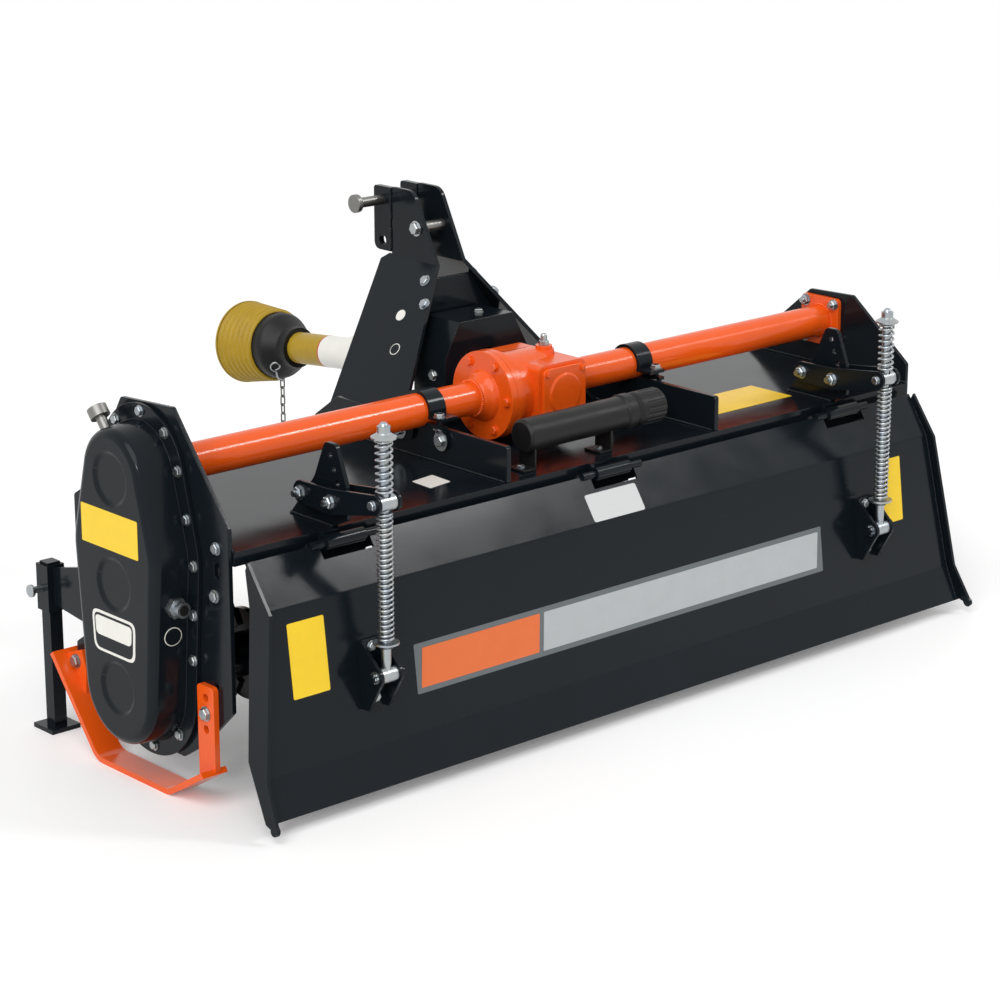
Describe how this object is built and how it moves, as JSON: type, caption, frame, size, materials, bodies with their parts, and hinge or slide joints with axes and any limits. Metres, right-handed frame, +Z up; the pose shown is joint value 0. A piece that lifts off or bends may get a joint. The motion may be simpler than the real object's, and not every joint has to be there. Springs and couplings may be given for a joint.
{
  "type": "rotary tiller",
  "caption": "Tractor-mounted rotary tiller with a tined rotor under a deck, a side gear case, a sprung rear levelling door, a mast and a guarded drive shaft.",
  "frame": {"origin": "on the ground under the middle of the machine's box", "axes": "+X to the right as seen from behind, +Y forward to the tractor, +Z up"},
  "size_m": [1.74, 1.2237, 0.845],
  "materials": {
    "black_paint": "gloss enamel",
    "orange_paint": "gloss enamel",
    "zinc_plate": "bright zinc",
    "bare_steel": "machined",
    "black_plastic": "moulded",
    "yellow_plastic": "moulded"
  },
  "bodies": {
    "frame": {"side_plate_left": "black_paint", "side_plate_right": "black_paint", "deck": "black_paint", "front_beam": "black_paint", "deck_hinges": "black_paint", "cross_tube_left": "orange_paint", "cross_tube_right": "orange_paint", "gearbox": "orange_paint", "gearbox_cover": "orange_paint", "gearbox_breather": "zinc_plate", "gear_case": "black_paint", "oil_filler": "zinc_plate", "oil_sight": "zinc_plate", "mast_plate_left": "black_paint", "mast_plate_right": "black_paint", "mast_lugs": "black_paint", "mast_spacer": "zinc_plate", "top_link_pin": "zinc_plate", "mast_brace": "black_paint", "pto_shield": "black_paint", "base_plates": "black_paint", "tube_clamps": "black_paint", "lower_hitch": "black_paint", "lower_pins": "zinc_plate", "skids": "orange_paint", "stand_sleeve": "black_paint", "stand_leg": "black_paint", "stand_pin": "zinc_plate", "spring_brackets": "black_paint", "spring_arms": "black_paint", "manual_tube": "black_plastic", "manual_cap": "black_plastic", "manual_brackets": "black_plastic", "guard_bell": "yellow_plastic", "guard_collar": "black_plastic", "guard_tube": "yellow_plastic", "guard_outer_tube": "yellow_plastic", "guard_rear": "black_plastic", "guard_chain": "zinc_plate", "bearing_left": "black_paint", "bearing_right": "black_paint"},
    "rotor": {"rotor_tube": "black_paint", "rotor_tines": "black_paint"},
    "pto": {"pto_shaft": "bare_steel"},
    "door": {"door_panel": "black_paint", "door_ends": "black_paint", "spring_clevises": "black_paint"},
    "rod_left": {"rod_left": "zinc_plate", "lower_spring_left": "zinc_plate"},
    "rod_right": {"rod_right": "zinc_plate", "lower_spring_right": "zinc_plate"},
    "trunnion_left": {"trunnion_left": "zinc_plate", "upper_spring_left": "zinc_plate"},
    "trunnion_right": {"trunnion_right": "zinc_plate", "upper_spring_right": "zinc_plate"}
  },
  "joints": [
    {"name": "rotor_spin", "type": "hinge", "parent": "frame", "child": "rotor", "pos_m": [0.018, -0.23986, 0.172], "axis": [-1, 0, 0], "continuous": true},
    {"name": "pto_spin", "type": "hinge", "parent": "frame", "child": "pto", "pos_m": [0.048, 0.20761, 0.49768], "axis": [0, 0.9949, -0.1011], "continuous": true},
    {"name": "door_swing", "type": "hinge", "parent": "frame", "child": "door", "pos_m": [0.018, -0.47686, 0.424], "axis": [-1, 0, 0], "range_deg": [0, 28], "deforming": ["lower_spring_left", "lower_spring_right"]},
    {"name": "rod_left_eye", "type": "hinge", "parent": "door", "child": "rod_left", "pos_m": [-0.582, -0.58186, 0.218], "axis": [-1, 0, 0], "range_deg": [-6.9, 0]},
    {"name": "trunnion_left_turn", "type": "hinge", "parent": "frame", "child": "trunnion_left", "pos_m": [-0.582, -0.58186, 0.507], "axis": [-1, 0, 0], "range_deg": [0, 21.2]},
    {"name": "rod_right_eye", "type": "hinge", "parent": "door", "child": "rod_right", "pos_m": [0.618, -0.58186, 0.218], "axis": [-1, 0, 0], "range_deg": [-6.9, 0]},
    {"name": "trunnion_right_turn", "type": "hinge", "parent": "frame", "child": "trunnion_right", "pos_m": [0.618, -0.58186, 0.507], "axis": [-1, 0, 0], "range_deg": [0, 21.2]}
  ],
  "couplings": [
    {"joint": "pto_spin", "follows": "rotor_spin", "ratio": 2.45},
    {"joint": "rod_left_eye", "follows": "door_swing", "ratio": -0.246},
    {"joint": "trunnion_left_turn", "follows": "door_swing", "ratio": 0.754},
    {"joint": "rod_right_eye", "follows": "door_swing", "ratio": -0.246},
    {"joint": "trunnion_right_turn", "follows": "door_swing", "ratio": 0.754}
  ]
}
